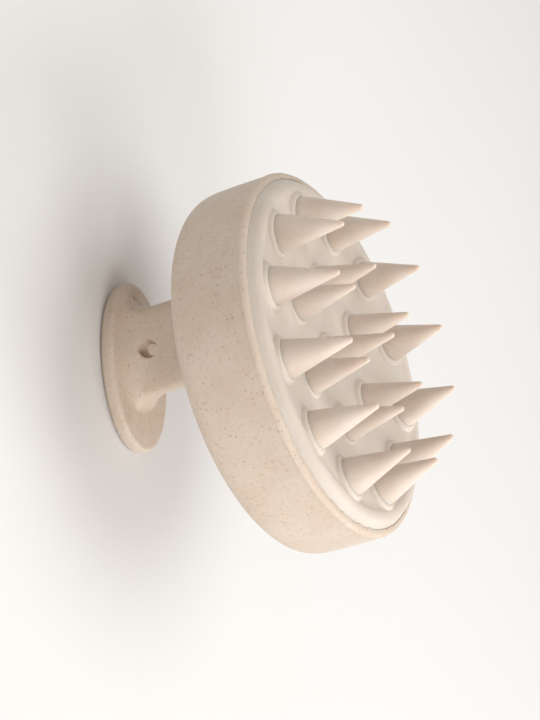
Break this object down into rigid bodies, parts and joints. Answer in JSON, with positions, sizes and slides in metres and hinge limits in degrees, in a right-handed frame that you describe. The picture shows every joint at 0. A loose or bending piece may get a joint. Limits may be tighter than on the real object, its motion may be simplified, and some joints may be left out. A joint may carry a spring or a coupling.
{
  "type": "scalp massager brush",
  "caption": "Hand-held scalp massager brush: an oval palm knob and flat neck carry a tipped round head with a soft pad of flexible tapered bristles.",
  "frame": {"origin": "centre of the knob's flat outer face, on which the brush stands with its bristles up", "axes": "+Z from the knob's face towards the head; +X is the side that the head is tipped down to; XZ is the mirror plane of the handle"},
  "size_m": [0.0866, 0.0856, 0.0741],
  "materials": {
    "shell_plastic": "satin, speckled with plant fibre",
    "inner_plastic": "satin",
    "pad_silicone": "semi-gloss, slightly translucent",
    "bristle_silicone": "satin, slightly translucent"
  },
  "bodies": {
    "brush_body": {"handle_shell": "shell_plastic", "backing_plate": "inner_plastic", "bristle_pad": "pad_silicone"},
    "bristle_centre": {"bristle_centre": "bristle_silicone"},
    "bristle_inner_1": {"bristle_inner_1": "bristle_silicone"},
    "bristle_inner_2": {"bristle_inner_2": "bristle_silicone"},
    "bristle_inner_3": {"bristle_inner_3": "bristle_silicone"},
    "bristle_inner_4": {"bristle_inner_4": "bristle_silicone"},
    "bristle_inner_5": {"bristle_inner_5": "bristle_silicone"},
    "bristle_inner_6": {"bristle_inner_6": "bristle_silicone"},
    "bristle_outer_1": {"bristle_outer_1": "bristle_silicone"},
    "bristle_outer_2": {"bristle_outer_2": "bristle_silicone"},
    "bristle_outer_3": {"bristle_outer_3": "bristle_silicone"},
    "bristle_outer_4": {"bristle_outer_4": "bristle_silicone"},
    "bristle_outer_5": {"bristle_outer_5": "bristle_silicone"},
    "bristle_outer_6": {"bristle_outer_6": "bristle_silicone"},
    "bristle_outer_7": {"bristle_outer_7": "bristle_silicone"},
    "bristle_outer_8": {"bristle_outer_8": "bristle_silicone"},
    "bristle_outer_9": {"bristle_outer_9": "bristle_silicone"},
    "bristle_outer_10": {"bristle_outer_10": "bristle_silicone"},
    "bristle_outer_11": {"bristle_outer_11": "bristle_silicone"},
    "bristle_outer_12": {"bristle_outer_12": "bristle_silicone"}
  },
  "joints": [
    {"name": "bend_centre", "type": "hinge", "parent": "brush_body", "child": "bristle_centre", "pos_m": [-0.00137, 0, 0.05222], "axis": [0, 1, 0], "range_deg": [-15, 15], "stiffness_Nm_per_rad": 0.02},
    {"name": "bend_inner_1", "type": "hinge", "parent": "brush_body", "child": "bristle_inner_1", "pos_m": [0.01481, -0.0042, 0.04967], "axis": [0, 1, 0], "range_deg": [-15, 15], "stiffness_Nm_per_rad": 0.02},
    {"name": "bend_inner_2", "type": "hinge", "parent": "brush_body", "child": "bristle_inner_2", "pos_m": [0.01034, 0.01208, 0.05051], "axis": [0, 1, 0], "range_deg": [-15, 15], "stiffness_Nm_per_rad": 0.02},
    {"name": "bend_inner_3", "type": "hinge", "parent": "brush_body", "child": "bristle_inner_3", "pos_m": [-0.00574, 0.01628, 0.05355], "axis": [0, 1, 0], "range_deg": [-15, 15], "stiffness_Nm_per_rad": 0.02},
    {"name": "bend_inner_4", "type": "hinge", "parent": "brush_body", "child": "bristle_inner_4", "pos_m": [-0.01736, 0.0042, 0.05575], "axis": [0, 1, 0], "range_deg": [-15, 15], "stiffness_Nm_per_rad": 0.02},
    {"name": "bend_inner_5", "type": "hinge", "parent": "brush_body", "child": "bristle_inner_5", "pos_m": [-0.01289, -0.01208, 0.0549], "axis": [0, 1, 0], "range_deg": [-15, 15], "stiffness_Nm_per_rad": 0.02},
    {"name": "bend_inner_6", "type": "hinge", "parent": "brush_body", "child": "bristle_inner_6", "pos_m": [0.00319, -0.01628, 0.05186], "axis": [0, 1, 0], "range_deg": [-15, 15], "stiffness_Nm_per_rad": 0.02},
    {"name": "bend_outer_1", "type": "hinge", "parent": "brush_body", "child": "bristle_outer_1", "pos_m": [0.03034, 0.00033, 0.04877], "axis": [0, 1, 0], "range_deg": [-15, 15], "stiffness_Nm_per_rad": 0.02},
    {"name": "bend_outer_2", "type": "hinge", "parent": "brush_body", "child": "bristle_outer_2", "pos_m": [0.02599, 0.01619, 0.04959], "axis": [0, 1, 0], "range_deg": [-15, 15], "stiffness_Nm_per_rad": 0.02},
    {"name": "bend_outer_3", "type": "hinge", "parent": "brush_body", "child": "bristle_outer_3", "pos_m": [0.01444, 0.02771, 0.05177], "axis": [0, 1, 0], "range_deg": [-15, 15], "stiffness_Nm_per_rad": 0.02},
    {"name": "bend_outer_4", "type": "hinge", "parent": "brush_body", "child": "bristle_outer_4", "pos_m": [-0.00123, 0.0318, 0.05473], "axis": [0, 1, 0], "range_deg": [-15, 15], "stiffness_Nm_per_rad": 0.02},
    {"name": "bend_outer_5", "type": "hinge", "parent": "brush_body", "child": "bristle_outer_5", "pos_m": [-0.01681, 0.02737, 0.05768], "axis": [0, 1, 0], "range_deg": [-15, 15], "stiffness_Nm_per_rad": 0.02},
    {"name": "bend_outer_6", "type": "hinge", "parent": "brush_body", "child": "bristle_outer_6", "pos_m": [-0.02813, 0.01561, 0.05982], "axis": [0, 1, 0], "range_deg": [-15, 15], "stiffness_Nm_per_rad": 0.02},
    {"name": "bend_outer_7", "type": "hinge", "parent": "brush_body", "child": "bristle_outer_7", "pos_m": [-0.03215, -0.00033, 0.06058], "axis": [0, 1, 0], "range_deg": [-15, 15], "stiffness_Nm_per_rad": 0.02},
    {"name": "bend_outer_8", "type": "hinge", "parent": "brush_body", "child": "bristle_outer_8", "pos_m": [-0.0278, -0.01619, 0.05975], "axis": [0, 1, 0], "range_deg": [-15, 15], "stiffness_Nm_per_rad": 0.02},
    {"name": "bend_outer_9", "type": "hinge", "parent": "brush_body", "child": "bristle_outer_9", "pos_m": [-0.01624, -0.02771, 0.05757], "axis": [0, 1, 0], "range_deg": [-15, 15], "stiffness_Nm_per_rad": 0.02},
    {"name": "bend_outer_10", "type": "hinge", "parent": "brush_body", "child": "bristle_outer_10", "pos_m": [-0.00058, -0.0318, 0.05461], "axis": [0, 1, 0], "range_deg": [-15, 15], "stiffness_Nm_per_rad": 0.02},
    {"name": "bend_outer_11", "type": "hinge", "parent": "brush_body", "child": "bristle_outer_11", "pos_m": [0.015, -0.02737, 0.05167], "axis": [0, 1, 0], "range_deg": [-15, 15], "stiffness_Nm_per_rad": 0.02},
    {"name": "bend_outer_12", "type": "hinge", "parent": "brush_body", "child": "bristle_outer_12", "pos_m": [0.02632, -0.01561, 0.04953], "axis": [0, 1, 0], "range_deg": [-15, 15], "stiffness_Nm_per_rad": 0.02}
  ]
}
